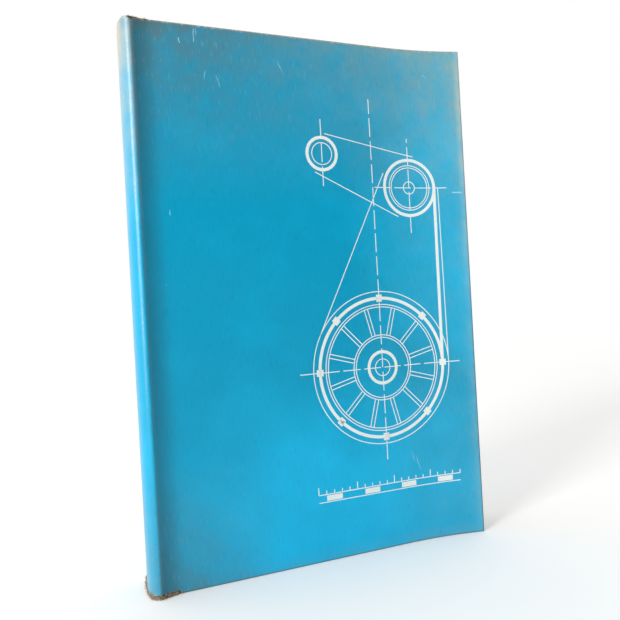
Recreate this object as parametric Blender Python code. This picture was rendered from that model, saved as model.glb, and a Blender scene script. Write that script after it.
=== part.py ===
"""A cased hardback book, standing closed on its tail edges, with a front cover that opens.

Units are metres. The book stands upright: +Z runs from tail to head, the front cover faces -Y,
the spine is at -X and the fore-edge at +X. Profiles are drawn in plan, in case coordinates:
x from the front ridge of the spine towards the fore-edge, y from the front board's outer plane
towards the back board. The parent empty moves them to the middle of the book's footprint.
"""

import math

import bmesh
import bpy
from mathutils import Vector

for leftover in list(bpy.data.objects):
    bpy.data.objects.remove(leftover, do_unlink=True)

# Driving sizes of the case
CASE_HEIGHT = 0.2400  # royal octavo case, tail to head
CASE_WIDTH = 0.1609  # spine ridge to fore-edge
COVER_SPAN = 0.0226  # outer plane of one board to outer plane of the other
BOARD_THICKNESS = 0.0025
CLOTH_THICKNESS = 0.0004
ENDPAPER_THICKNESS = 0.00015
GLUE_GAP = 0.0001  # glue line between two layers
TURN_IN = 0.0150  # how far the cloth is folded over inside the boards
SQUARE = 0.0030  # how far the boards stand beyond the leaves at head and tail

# The joint between spine and board, in plan. Its groove has filled out with wear: the cloth sinks
# from the ridge to the board without a dip
RIDGE_X = -0.0001  # where the spine's ridge stands highest
RIDGE_RISE = 0.0018  # height of the ridge over the board's plane
RIDGE_ROUND = 0.06  # share of the joint's width over which the ridge turns down
JOINT_POWER = 1.8  # above 1, the cloth sinks sooner beside the ridge than beside the board
BOARD_EDGE_X = 0.0095  # the board's edge beside the joint, where the cloth turns flat

# The rounded spine, in plan. It has rolled towards the front cover, as on many well-read books
SPINE_CORNER = 0.0022  # the back ridge rolls over into the spine as far as this depth
SPINE_BACK_X = -0.0013  # where the spine's arc starts, beside the back ridge
SPINE_APEX_X = -0.0036  # where the spine stands out furthest
SPINE_APEX_Y = 0.0050
SPINE_ROLL_Y = 0.0090  # the arc's middle control point lies at this depth
FRONT_CORNER_X = -0.0023  # control points of the corner from there to the front ridge
FRONT_CORNER_Y = 0.0012
BACK_CORNER_X = -0.00115  # control points of the corner at the back ridge
BACK_CORNER_REACH = 0.0015
INLAY_THICKNESS = 0.0008
LINING_THICKNESS = 0.0003

# The front board has warped outwards along its fore-edge
CURL_START_X = 0.1180
CURL_DEPTH = 0.00565
CURL_POWER = 2.2

# The leaves
SECTION_COUNT = 10
LEAF_WIDTH = 0.1546
BLOCK_BACK_X = 0.0009  # back of the middle sections
BLOCK_ROUND = 0.0017  # the outer sections lie this much further in
SHOULDER_X = 0.0026  # the backed shoulder is fully flared up to here
SHOULDER_END_X = 0.0054  # and the leaves run straight from here
SHOULDER_HALF = 0.0100  # half of the block's thickness at the shoulders
FOLD_ROUND = 0.0003  # how far each section's folded back is rounded
FLYLEAF_X = 0.0060

# The band at head and tail
BAND_REACH = 0.9  # share of the block's back that a band covers
BAND_TAPE = 0.0090  # tape glued down behind the leaves
BAND_BEAD_HEIGHT = 0.0017
BAND_BEAD_WIDTH = 0.00175

# The front cover's hinge line stands just off the joint's cloth, so that the cover can fold back
# past the ridge
HINGE_X = 0.0055
HINGE_Y = -0.00135
HINGE_SPLIT = 0.0002  # half of the slit between the cloth of the cover and the cloth of the spine
COVER_CLEARANCE = 0.0003  # the closed cover to the first leaf
CUT_STEP = 0.00002  # keeps a cut from lying in the plane of a face

# Points along curved stretches
JOINT_STEPS = 10
BACK_CORNER_STEPS = 7
FRONT_CORNER_STEPS = 8
FRONT_INLAY_STEPS = 4  # the spine's card reaches this far round the front corner
SPINE_STEPS = 10
CURL_STEPS = 9
SHOULDER_STEPS = 4
BAND_STEPS = 12

# Depths of the layers of a cover, from its outer plane inwards
BOARD_OUTER = CLOTH_THICKNESS + GLUE_GAP
BOARD_INNER = BOARD_OUTER + BOARD_THICKNESS
TURN_IN_OUTER = BOARD_INNER + GLUE_GAP
TURN_IN_INNER = TURN_IN_OUTER + CLOTH_THICKNESS
PASTEDOWN_OUTER = TURN_IN_INNER + GLUE_GAP
PASTEDOWN_INNER = PASTEDOWN_OUTER + ENDPAPER_THICKNESS

# Both flyleaves and the block of leaves between them
FRONT_FLYLEAF_Y = PASTEDOWN_INNER + COVER_CLEARANCE
BACK_FLYLEAF_Y = COVER_SPAN - PASTEDOWN_INNER - GLUE_GAP
BLOCK_FRONT_Y = FRONT_FLYLEAF_Y + ENDPAPER_THICKNESS + GLUE_GAP
BLOCK_BACK_Y = BACK_FLYLEAF_Y - ENDPAPER_THICKNESS - GLUE_GAP
BLOCK_MIDDLE_Y = (BLOCK_FRONT_Y + BLOCK_BACK_Y) / 2
BLOCK_HALF = (BLOCK_BACK_Y - BLOCK_FRONT_Y) / 2
BLOCK_TAIL = SQUARE
BLOCK_HEAD = CASE_HEIGHT - SQUARE


def make_material(name, colour, roughness):
    material = bpy.data.materials.new(name)
    material.use_nodes = True
    shader = material.node_tree.nodes["Principled BSDF"]
    shader.inputs["Base Color"].default_value = (*colour, 1.0)
    shader.inputs["Roughness"].default_value = roughness
    shader.inputs["Metallic"].default_value = 0.0
    return material


def span(start, end, steps):
    """Evenly spaced values from start to end, both included."""
    return [start + (end - start) * i / steps for i in range(steps + 1)]


def ease(share):
    """A smooth step from 0 to 1."""
    share = min(max(share, 0.0), 1.0)
    return share * share * (3 - 2 * share)


def mirrored_to_back(points):
    """The same profile on the back cover."""
    return [(x, COVER_SPAN - y) for x, y in reversed(points)]


def offset_path(points, distance):
    """A line parallel to an open path, on its left-hand side."""
    moved = []
    for i, point in enumerate(points):
        before = Vector(points[max(i - 1, 0)])
        after = Vector(points[min(i + 1, len(points) - 1)])
        along = (after - before).normalized()
        moved.append((point[0] - along.y * distance, point[1] + along.x * distance))
    return moved


def joint_height(x):
    """Height of the cloth's outer face across the joint, from ridge to board."""
    share = (x - RIDGE_X) / (BOARD_EDGE_X - RIDGE_X)
    sunk = share * share * (1 + RIDGE_ROUND) / (share + RIDGE_ROUND)
    return -RIDGE_RISE * max(1 - sunk, 0.0) ** JOINT_POWER


def curl_height(x):
    """Height of the front board's outer plane, which curls towards the viewer at its fore-edge."""
    share = max(x - CURL_START_X, 0.0) / (CASE_WIDTH - CURL_START_X)
    return -CURL_DEPTH * share**CURL_POWER


def joint_path(start_x, end_x):
    return [(x, joint_height(x)) for x in span(start_x, end_x, JOINT_STEPS)]


def cover_plane(warped, start_x, end_x):
    """A board's outer plane in plan, as it lies at the front of the book."""
    if not warped:
        return [(start_x, 0.0), (end_x, 0.0)]
    return [(start_x, 0.0)] + [(x, curl_height(x)) for x in span(CURL_START_X, end_x, CURL_STEPS)]


def curve(controls, steps):
    """Points along a Bezier curve."""
    path = []
    for t in span(0.0, 1.0, steps):
        points = [Vector(point) for point in controls]
        while len(points) > 1:
            points = [near.lerp(far, t) for near, far in zip(points, points[1:])]
        path.append((points[0].x, points[0].y))
    return path


def spine_face():
    """The spine in plan, from the back ridge to the front ridge, in three stretches."""
    face_start = (SPINE_BACK_X, COVER_SPAN - SPINE_CORNER)
    apex = (SPINE_APEX_X, SPINE_APEX_Y)
    back_ridge = (RIDGE_X, COVER_SPAN + RIDGE_RISE)
    front_ridge = (RIDGE_X, -RIDGE_RISE)
    slope = (SPINE_BACK_X - SPINE_APEX_X) / (face_start[1] - SPINE_ROLL_Y)
    lead_in = (SPINE_BACK_X + slope * BACK_CORNER_REACH, face_start[1] + BACK_CORNER_REACH)
    controls = [back_ridge, (BACK_CORNER_X, back_ridge[1]), lead_in, face_start]
    back_corner = curve(controls, BACK_CORNER_STEPS)[:-1]
    arc = curve([face_start, (SPINE_APEX_X, SPINE_ROLL_Y), apex], SPINE_STEPS)
    controls = [apex, (SPINE_APEX_X, FRONT_CORNER_Y), (FRONT_CORNER_X, -RIDGE_RISE), front_ridge]
    front_corner = curve(controls, FRONT_CORNER_STEPS)[1:]
    return back_corner, arc + front_corner[:FRONT_INLAY_STEPS], front_corner[FRONT_INLAY_STEPS:]


def prism(name, outline, bottom, top, origin=(0.0, 0.0)):
    """A solid with the given plan outline, extruded upwards."""
    mesh = bpy.data.meshes.new(name)
    shape = bmesh.new()
    ring = [shape.verts.new((x - origin[0], y - origin[1], bottom)) for x, y in outline]
    base = shape.faces.new(ring)
    raised = bmesh.ops.extrude_face_region(shape, geom=[base])["geom"]
    lifted = [item for item in raised if isinstance(item, bmesh.types.BMVert)]
    bmesh.ops.translate(shape, verts=lifted, vec=(0.0, 0.0, top - bottom))
    bmesh.ops.recalc_face_normals(shape, faces=shape.faces)
    shape.to_mesh(mesh)
    shape.free()
    piece = bpy.data.objects.new(name, mesh)
    bpy.context.collection.objects.link(piece)
    return piece


def finish(piece, material, parent):
    piece.data.materials.append(material)
    piece.data.shade_smooth()
    piece.data.set_sharp_from_angle(angle=math.radians(25))
    piece.parent = parent


def cut(piece, cutter, parent):
    """Takes the cutter's shape out of a piece with a Boolean modifier."""
    cutter.hide_render = True
    cutter.display_type = "WIRE"
    cutter.parent = parent
    difference = piece.modifiers.new(cutter.name, "BOOLEAN")
    difference.operation = "DIFFERENCE"
    difference.object = cutter


def layer(path, outer_depth, inner_depth):
    """Outline of a sheet that follows a path between two depths below it."""
    return offset_path(path, outer_depth) + offset_path(path, inner_depth)[::-1]


def cloth_outline(warped):
    """The cloth of one cover in plan, from its joint strip round the fore-edge to the flap inside."""
    strip = joint_path(HINGE_X + HINGE_SPLIT, BOARD_EDGE_X)
    skin = cover_plane(warped, BOARD_EDGE_X + GLUE_GAP, CASE_WIDTH)
    inside = offset_path(strip, CLOTH_THICKNESS) + offset_path(skin, TURN_IN_INNER)
    return strip + skin[1:] + inside[::-1]


def board_space_outline(warped):
    """The space that the cloth wraps round the board, open towards the spine."""
    start = BOARD_EDGE_X + GLUE_GAP + CUT_STEP
    plane = cover_plane(warped, start, CASE_WIDTH - CLOTH_THICKNESS)
    open_side = [(BOARD_EDGE_X, TURN_IN_OUTER), (BOARD_EDGE_X, CLOTH_THICKNESS + CUT_STEP)]
    return layer(plane, CLOTH_THICKNESS, TURN_IN_OUTER) + open_side


def window_outline(warped):
    """The opening between the turn-ins, inside the cover."""
    plane = cover_plane(warped, BOARD_EDGE_X - GLUE_GAP, CASE_WIDTH - TURN_IN)
    return layer(plane, (BOARD_OUTER + BOARD_INNER) / 2, TURN_IN_INNER + SQUARE)


def build_cover(side, warped, place, axis, parent, materials):
    """One cover: its board, the cloth turned in over it, and the endpaper pasted down inside."""

    def solid(name, outline, bottom):
        return prism(side + name, place(outline), bottom, CASE_HEIGHT - bottom, axis)

    plane = cover_plane(warped, BOARD_EDGE_X, CASE_WIDTH - BOARD_OUTER)
    board = solid("_board", layer(plane, BOARD_OUTER, BOARD_INNER), BOARD_OUTER)
    finish(board, materials["board"], parent)

    cloth = solid("_cloth", cloth_outline(warped), 0.0)
    cut(cloth, solid("_board_space", board_space_outline(warped), CLOTH_THICKNESS), parent)
    cut(cloth, solid("_window", window_outline(warped), TURN_IN), parent)
    finish(cloth, materials["cloth"], parent)

    plane = cover_plane(warped, FLYLEAF_X, CASE_WIDTH - SQUARE)
    pastedown = solid("_pastedown", layer(plane, PASTEDOWN_OUTER, PASTEDOWN_INNER), SQUARE)
    finish(pastedown, materials["endpaper"], parent)


def build_spine(materials, origin):
    """Cloth of the spine and of both joints, turned in over a card inlay at head and tail."""
    front_joint = joint_path(RIDGE_X, HINGE_X - HINGE_SPLIT)[1:]
    back_joint = mirrored_to_back(joint_path(RIDGE_X, HINGE_X - HINGE_SPLIT)[1:])
    back_corner, arc, front_corner = spine_face()
    outer = back_joint + back_corner + arc + front_corner + front_joint
    thin_inner = offset_path(outer, CLOTH_THICKNESS)
    lead = len(back_joint) + len(back_corner)
    inlay_outer = CLOTH_THICKNESS + GLUE_GAP
    inlay_inner = inlay_outer + INLAY_THICKNESS
    flap_inner = inlay_inner + GLUE_GAP + CLOTH_THICKNESS
    thick_inner = offset_path(outer, flap_inner)[lead + 1 : lead + len(arc) - 1]
    inner = thin_inner[: lead + 1] + thick_inner + thin_inner[lead + len(arc) - 1 :]
    cloth = prism("spine_cloth", outer + inner[::-1], 0.0, CASE_HEIGHT)
    space = layer(arc, CLOTH_THICKNESS, inlay_inner + GLUE_GAP)
    window = layer(arc, inlay_inner, flap_inner + CLOTH_THICKNESS)
    ends = (CLOTH_THICKNESS, CASE_HEIGHT - CLOTH_THICKNESS)
    cut(cloth, prism("spine_inlay_space", space, *ends), origin)
    cut(cloth, prism("spine_window", window, TURN_IN, CASE_HEIGHT - TURN_IN), origin)
    finish(cloth, materials["cloth"], origin)

    outline = layer(arc[1:-1], inlay_outer, inlay_inner)
    inlay = prism("spine_inlay", outline, inlay_outer, CASE_HEIGHT - inlay_outer)
    finish(inlay, materials["board"], origin)


def block_back_x(share):
    """Where the folded backs lie, share running from -1 at the front to 1 at the back."""
    return BLOCK_BACK_X + BLOCK_ROUND * share * share


def leaf_y(x, share):
    flare = ease((SHOULDER_END_X - x) / (SHOULDER_END_X - SHOULDER_X))
    return BLOCK_MIDDLE_Y + share * (BLOCK_HALF + (SHOULDER_HALF - BLOCK_HALF) * flare)


def leaf_line(share, inset):
    """One leaf in plan, from its folded back to the hollow fore-edge."""
    back = block_back_x(share)
    xs = [back + inset] + span(max(SHOULDER_X, back + 2 * inset), SHOULDER_END_X, SHOULDER_STEPS)
    xs.append(back + LEAF_WIDTH)
    return [(x, leaf_y(x, share)) for x in xs]


def build_leaves(materials, origin):
    """The sewn sections of folded leaves, rounded at the back and flared at the shoulders."""
    pitch = 2.0 / SECTION_COUNT
    half_gap = GLUE_GAP / 2 / BLOCK_HALF
    for number in range(SECTION_COUNT):
        front = -1.0 + number * pitch + half_gap
        back = -1.0 + (number + 1) * pitch - half_gap
        middle = (front + back) / 2
        fold = (block_back_x(middle), leaf_y(block_back_x(middle), middle))
        edge = (block_back_x(middle) + LEAF_WIDTH, leaf_y(CASE_WIDTH, middle))
        near = leaf_line(front, FOLD_ROUND)
        far = leaf_line(back, FOLD_ROUND)
        outline = [fold] + near + [edge] + far[::-1]
        section = prism("section_%02d" % (number + 1), outline, BLOCK_TAIL, BLOCK_HEAD)
        finish(section, materials["leaves"], origin)

    for name, near_y in (("front_flyleaf", FRONT_FLYLEAF_Y), ("back_flyleaf", BACK_FLYLEAF_Y)):
        far_y = near_y + (ENDPAPER_THICKNESS if name == "front_flyleaf" else -ENDPAPER_THICKNESS)
        end_x = block_back_x(1.0) + LEAF_WIDTH
        outline = [(FLYLEAF_X, near_y), (end_x, near_y), (end_x, far_y), (FLYLEAF_X, far_y)]
        flyleaf = prism(name, outline, BLOCK_TAIL, BLOCK_HEAD)
        finish(flyleaf, materials["endpaper"], origin)


def back_path(reach, depth):
    """The rounded back of the leaves, moved outwards by a depth."""
    path = []
    for share in span(-reach, reach, BAND_STEPS):
        x = block_back_x(share)
        path.append((x - depth, leaf_y(x, share)))
    return path


def build_lining(materials, origin):
    """Cloth and paper glued to the backs of the sections between the two bands."""
    reach = 1.0 - 0.5 / SECTION_COUNT
    outline = back_path(reach, GLUE_GAP) + back_path(reach, GLUE_GAP + LINING_THICKNESS)[::-1]
    bottom = BLOCK_TAIL + BAND_TAPE + GLUE_GAP
    top = BLOCK_HEAD - BAND_TAPE - GLUE_GAP
    lining = prism("spine_lining", outline, bottom, top)
    finish(lining, materials["lining"], origin)


def build_band(name, edge_z, upwards, materials, origin):
    """A woven band: a bead that lies on the leaves' edge, on a tape glued behind their backs."""
    outer = -(GLUE_GAP + LINING_THICKNESS)
    bead_round = BAND_BEAD_HEIGHT / 4
    bead_far = outer + BAND_BEAD_WIDTH
    bead_top = GLUE_GAP + BAND_BEAD_HEIGHT
    profile = [
        (outer, -BAND_TAPE),
        (-GLUE_GAP, -BAND_TAPE),
        (-GLUE_GAP, GLUE_GAP),
        (bead_far - bead_round, GLUE_GAP),
        (bead_far, GLUE_GAP + bead_round),
        (bead_far, bead_top - 2 * bead_round),
        (bead_far - bead_round, bead_top - bead_round / 2),
        ((outer + bead_far) / 2, bead_top),
        (outer + bead_round, bead_top - bead_round / 2),
        (outer, bead_top - 2 * bead_round),
    ]
    mesh = bpy.data.meshes.new(name)
    shape = bmesh.new()
    rings = []
    for x, y in back_path(BAND_REACH, 0.0):
        ring = [shape.verts.new((x + inward, y, edge_z + upwards * rise)) for inward, rise in profile]
        rings.append(ring)
    for near, far in zip(rings, rings[1:]):
        for i in range(len(profile)):
            j = (i + 1) % len(profile)
            shape.faces.new((near[i], near[j], far[j], far[i]))
    shape.faces.new(rings[0])
    shape.faces.new(rings[-1])
    bmesh.ops.recalc_face_normals(shape, faces=shape.faces)
    shape.to_mesh(mesh)
    shape.free()
    band = bpy.data.objects.new(name, mesh)
    bpy.context.collection.objects.link(band)
    finish(band, materials["band"], origin)


def make_empty(name, location, parent=None):
    empty = bpy.data.objects.new(name, None)
    empty.location = location
    empty.parent = parent
    bpy.context.collection.objects.link(empty)
    return empty


def footprint_middle():
    """Middle of the book's footprint, in case coordinates."""
    inner_face = offset_path(cover_plane(True, BOARD_EDGE_X, CASE_WIDTH), TURN_IN_INNER)
    fore_edge_x = inner_face[-1][0]
    return (SPINE_APEX_X + fore_edge_x) / 2, (COVER_SPAN + RIDGE_RISE - CURL_DEPTH) / 2


def build_book():
    materials = {
        "cloth": make_material("coated_book_cloth", (0.0, 0.30, 0.51), 0.38),
        "board": make_material("grey_board", (0.34, 0.30, 0.25), 0.90),
        "endpaper": make_material("endpaper", (0.76, 0.71, 0.58), 0.85),
        "leaves": make_material("book_paper", (0.72, 0.66, 0.52), 0.90),
        "lining": make_material("mull_and_kraft", (0.45, 0.35, 0.22), 0.95),
        "band": make_material("woven_band", (0.70, 0.70, 0.66), 0.80),
    }
    middle_x, middle_y = footprint_middle()
    origin = make_empty("book_origin", (-middle_x, -middle_y, 0.0))
    hinge = make_empty("front_cover_hinge_axis", (HINGE_X, HINGE_Y, 0.0), origin)
    build_cover("front", True, list, (HINGE_X, HINGE_Y), hinge, materials)
    build_cover("back", False, mirrored_to_back, (0.0, 0.0), origin, materials)
    build_spine(materials, origin)
    build_leaves(materials, origin)
    build_lining(materials, origin)
    build_band("headband", BLOCK_HEAD, 1, materials, origin)
    build_band("tailband", BLOCK_TAIL, -1, materials, origin)


build_book()
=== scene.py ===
import math
from bisect import bisect_right
from functools import partial

import bmesh
import bpy
from mathutils import Matrix, Vector, noise


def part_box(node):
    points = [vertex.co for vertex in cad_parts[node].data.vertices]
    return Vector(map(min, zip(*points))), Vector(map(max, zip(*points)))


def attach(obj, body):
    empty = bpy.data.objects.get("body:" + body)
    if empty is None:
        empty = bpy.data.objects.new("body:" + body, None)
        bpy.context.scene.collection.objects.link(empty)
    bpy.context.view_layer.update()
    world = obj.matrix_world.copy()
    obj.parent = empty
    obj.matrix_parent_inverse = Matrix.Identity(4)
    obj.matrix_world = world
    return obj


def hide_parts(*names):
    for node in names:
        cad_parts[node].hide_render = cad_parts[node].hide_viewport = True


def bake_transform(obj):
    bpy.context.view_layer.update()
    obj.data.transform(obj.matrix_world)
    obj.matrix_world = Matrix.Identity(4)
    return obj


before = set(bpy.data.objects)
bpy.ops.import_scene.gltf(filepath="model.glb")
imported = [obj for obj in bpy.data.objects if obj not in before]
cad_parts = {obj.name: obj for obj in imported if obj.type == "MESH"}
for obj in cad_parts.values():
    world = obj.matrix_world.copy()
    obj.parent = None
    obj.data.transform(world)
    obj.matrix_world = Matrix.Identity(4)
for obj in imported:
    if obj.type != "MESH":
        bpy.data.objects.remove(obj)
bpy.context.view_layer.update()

# A blue cloth-covered book, closed and standing on its tail edges.
# Lengths are in millimetres and in case coordinates until a piece is finished: x runs from the
# spine's front ridge to the fore-edge, y from the front cover's outer plane to the back cover's,
# z from tail to head. finishPiece() brings a mesh from there into the frame.
mm = 0.001
spineLow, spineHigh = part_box("spine_cloth")
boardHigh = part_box("back_board")[1]
leafLow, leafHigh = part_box("section_01")[0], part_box("section_10")[1]

case = dict(
    height=(spineHigh.z - spineLow.z) / mm,
    width=160.9,        # ridge to fore-edge, along the flat of the cover
    span=22.6,          # outer plane of one cover to that of the other
    boardSunk=0.5,      # a board lies this deep under the plane of its cloth
    ridgeX=-0.1,
    ridgeRise=1.8,
    ridgeRound=0.03,
    jointPower=1.8,
    slitX=5.5,          # the two cloths of the back meet here
    boardX=9.5,         # the board's edge beside the joint
    spineCorner=2.2,
    spineBackX=-1.3,    # the spine's arc starts here, beside the back ridge
    backCornerX=-1.15,
    backCornerReach=1.5,
    spineApexX=-3.6,    # it has rolled towards the front, and stands out furthest here
    spineApexY=5.0,
    spineRollY=9.0,
    frontCornerX=-2.3,
    frontCornerY=1.2,
    crestDrop=0.75,     # the spine's face still rises where it meets the crest of the ridge
    curlX=118.0,        # from here the front board has warped outwards
    curlDepth=5.65,
    curlPower=2.2,
    hingeStart=(1.8, 0.0),   # two places in plan across the front joint; the script turns them into frame places but uses them for nothing else
    hingeEnd=(8.9, -1.3),    # slope between them leaves the back joint's cloth out of it
)
caseOrigin = Vector((spineLow.x - case["spineApexX"] * mm,
                     boardHigh.y - (case["span"] - case["boardSunk"]) * mm, 0.0))
caseToFrame = Matrix.Translation(caseOrigin) @ Matrix.Scale(mm, 4)
print("frame:", len(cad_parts), "nodes, case", round(case["height"], 1), "mm high")


# Small tools

def ease(share):
    share = min(max(share, 0.0), 1.0)
    return share * share * (3 - 2 * share)


def stepsBetween(start, end, count):
    return [start + (end - start) * i / count for i in range(count + 1)]


def inFrame(x, y):
    # a place in plan, in the frame's metres
    return tuple(caseToFrame @ Vector((x, y, 0.0)))


def linear(hexColour):
    # sRGB hex to the linear colour that a socket takes
    channels = [int(hexColour[i:i + 2], 16) / 255 for i in (1, 3, 5)]
    return tuple(c / 12.92 if c <= 0.04045 else ((c + 0.055) / 1.055) ** 2.4 for c in channels) + (1.0,)


class NodeTree:
    # a node tree, with short ways to add to it

    def __init__(self, tree, shader=None):
        self.tree, self.shader, self.values = tree, shader, {}

    def add(self, kind, inputs=None, **settings):
        # adds a node with its settings, and fills or links its inputs by name or number
        node = self.tree.nodes.new(kind)
        for name, value in settings.items():
            setattr(node, name, value)
        for key, value in (inputs or {}).items():
            if isinstance(value, bpy.types.NodeSocket):
                self.tree.links.new(value, node.inputs[key])
            else:
                node.inputs[key].default_value = value
        return node

    def maths(self, operation, *values, **settings):
        return self.add("ShaderNodeMath", dict(enumerate(values)), operation=operation, **settings).outputs[0]

    def product(self, first, *others):
        for other in others:
            first = self.maths("MULTIPLY", first, other)
        return first

    def total(self, first, *others):
        for other in others:
            first = self.maths("ADD", first, other)
        return first

    def ranged(self, value, start, end, low=0.0, high=1.0, soft=False):
        # low where the value is at start, high where it is at end
        return self.add("ShaderNodeMapRange", {
            "Value": value, "From Min": start, "From Max": end, "To Min": low, "To Max": high},
            interpolation_type="SMOOTHSTEP" if soft else "LINEAR").outputs["Result"]

    def mixed(self, share, *colours):
        # two colours, each an output or an sRGB hex
        first, second = (linear(colour) if isinstance(colour, str) else colour for colour in colours)
        return self.add("ShaderNodeMix", {0: share, 6: first, 7: second}, data_type="RGBA").outputs[2]

    def clouds(self, place, size, detail=2.0, roughness=0.5, distortion=0.0):
        return self.add("ShaderNodeTexNoise", {
            "Vector": place, "Scale": 1 / size, "Detail": detail, "Roughness": roughness,
            "Distortion": distortion}).outputs["Fac"]

    def attribute(self, name, output="Fac"):
        return self.add("ShaderNodeAttribute", attribute_name=name).outputs[output]

    def paint(self, **sockets):
        # links outputs to the shader's sockets
        for name, value in sockets.items():
            self.tree.links.new(value, self.shader.inputs[name.replace("_", " ")])

    def relief(self, height, strength, depth):
        bump = self.add("ShaderNodeBump", {"Height": height, "Strength": strength, "Distance": depth * mm})
        self.paint(Normal=bump.outputs["Normal"])

    def made(self, kind, **sockets):
        # adds a geometry node and gives its first output
        inputs = {name.replace("_", " "): value for name, value in sockets.items()}
        return self.add("GeometryNode" + kind, inputs).outputs[0]

    def named(self, name):
        node = self.add("GeometryNodeInputNamedAttribute", {"Name": name}, data_type="FLOAT")
        return node.outputs["Attribute"]

    def store(self, geometry, name, value):
        node = self.add("GeometryNodeStoreNamedAttribute", {
            "Geometry": geometry, "Name": name, "Value": value}, data_type="FLOAT", domain="POINT")
        return node.outputs["Geometry"]

    def vector(self, *parts):
        return self.add("ShaderNodeCombineXYZ", dict(enumerate(parts))).outputs[0]

    def above(self, value, limit):
        return self.add("FunctionNodeCompare", {0: value, 1: limit}, operation="GREATER_THAN").outputs[0]

    def dress(self, geometry, material, **more):
        return self.made("SetMaterial", Geometry=geometry, Material=material, **more)

    def drawn(self, low, high, seed):
        return self.add("FunctionNodeRandomValue", {"Min": low, "Max": high, "Seed": seed},
                        data_type="FLOAT_VECTOR").outputs[0]


def newMaterial(name, **shaderValues):
    material = bpy.data.materials.new(name)
    material.use_nodes = True
    shader = material.node_tree.nodes["Principled BSDF"]
    for socket, value in shaderValues.items():
        shader.inputs[socket.replace("_", " ")].default_value = value
    return material, NodeTree(material.node_tree, shader)


def newPiece(name, shape, material):
    mesh = bpy.data.meshes.new(name)
    shape.to_mesh(mesh)
    shape.free()
    mesh.materials.append(material)
    piece = bpy.data.objects.new(name, mesh)
    bpy.context.collection.objects.link(piece)
    return piece


def applyModifiers(piece):
    shown = piece.evaluated_get(bpy.context.evaluated_depsgraph_get())
    baked = bpy.data.meshes.new_from_object(shown)
    piece.modifiers.clear()
    rough = piece.data
    piece.data = baked
    bpy.data.meshes.remove(rough)


def finishPiece(piece, sharpAngle=35.0):
    # applies what is left on it, shades it, and moves it from case millimetres into the frame
    if piece.modifiers:
        applyModifiers(piece)
    piece.data.transform(caseToFrame)
    piece.data.shade_smooth()
    piece.data.set_sharp_from_angle(angle=math.radians(sharpAngle))
    return piece


def solidify(piece, thickness):
    # the thickness goes in behind the faces drawn, or a negative one out in front of them
    wall = piece.modifiers.new("thickness", "SOLIDIFY")
    wall.thickness = thickness
    wall.offset = -1.0
    wall.use_quality_normals = True


def newTree(name, sizes):
    # a geometry tree, with each of the sizes as an input of its own
    tree = NodeTree(bpy.data.node_groups.new(name, "GeometryNodeTree"))
    face = tree.tree.interface
    for way in ("INPUT", "OUTPUT"):
        face.new_socket("Geometry", in_out=way, socket_type="NodeSocketGeometry")
    for size, value in sizes.items():
        kind = {int: "Int", float: "Float"}.get(type(value), "Material")
        socket = face.new_socket(size, in_out="INPUT", socket_type="NodeSocket" + kind)
        tree.values[socket.identifier] = value
    return tree, tree.add("NodeGroupInput").outputs


def bakeTree(name, tree, sourceMesh=None):
    # runs a tree on a carrier object and keeps the result as a plain mesh
    carrier = bpy.data.objects.new(name + "Carrier", sourceMesh or bpy.data.meshes.new(name + "Carrier"))
    bpy.context.collection.objects.link(carrier)
    maker = carrier.modifiers.new("maker", "NODES")
    maker.node_group = tree.tree
    for identifier, value in tree.values.items():
        maker[identifier] = value
    shown = carrier.evaluated_get(bpy.context.evaluated_depsgraph_get())
    mesh = bpy.data.meshes.new_from_object(shown)
    mesh.name = name
    bpy.data.objects.remove(carrier)
    piece = bpy.data.objects.new(name, mesh)
    bpy.context.collection.objects.link(piece)
    return piece


# The case in plan

def jointHeight(x):
    share = (x - case["ridgeX"]) / (case["boardX"] - case["ridgeX"])
    sunk = share * share * (1 + case["ridgeRound"]) / (share + case["ridgeRound"])
    return -case["ridgeRise"] * max(1 - sunk, 0.0) ** case["jointPower"]


def curlHeight(x):
    share = max(x - case["curlX"], 0.0) / (case["width"] - case["curlX"])
    return -case["curlDepth"] * share ** case["curlPower"]


def bezier(controls, count):
    # points along a Bezier curve in plan
    curve = []
    for t in stepsBetween(0.0, 1.0, count):
        points = [Vector(point) for point in controls]
        while len(points) > 1:
            points = [near.lerp(far, t) for near, far in zip(points, points[1:])]
        curve.append((points[0].x, points[0].y))
    return curve


spineStart = (case["spineBackX"], case["span"] - case["spineCorner"])
spineApex = (case["spineApexX"], case["spineApexY"])
backCrest = (case["ridgeX"], case["span"] + case["ridgeRise"])
spineSlope = (case["spineBackX"] - case["spineApexX"]) / (spineStart[1] - case["spineRollY"])
backLeadIn = (case["spineBackX"] + spineSlope * case["backCornerReach"],
              spineStart[1] + case["backCornerReach"])
frontCorner = bezier([spineApex, (case["spineApexX"], case["frontCornerY"]),
                      (case["frontCornerX"], case["crestDrop"] - case["ridgeRise"]),
                      (case["ridgeX"], -case["ridgeRise"])], 60)


def toBack(points):
    return [(x, case["span"] - y) for x, y in reversed(points)]


class PlanPath:
    # a path in plan with its running length, and the places along it that have names

    def __init__(self, stretches):
        self.points = []
        self.marks = {}
        for name, points in stretches:
            self.points += points if not self.points else points[1:]
            self.marks[name] = len(self.points) - 1
        self.runs = [0.0]
        for near, far in zip(self.points, self.points[1:]):
            self.runs.append(self.runs[-1] + math.dist(near, far))
        self.marks = {name: self.runs[i] for name, i in self.marks.items()}
        self.length = self.runs[-1]

    def at(self, run):
        i = min(max(bisect_right(self.runs, run) - 1, 0), len(self.points) - 2)
        share = (run - self.runs[i]) / (self.runs[i + 1] - self.runs[i])
        near, far = self.points[i], self.points[i + 1]
        return Vector((near[0] + (far[0] - near[0]) * share, near[1] + (far[1] - near[1]) * share))

    def inward(self, run):
        reach = 0.2
        along = (self.at(min(run + reach, self.length)) - self.at(max(run - reach, 0.0))).normalized()
        return Vector((-along.y, along.x))


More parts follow.
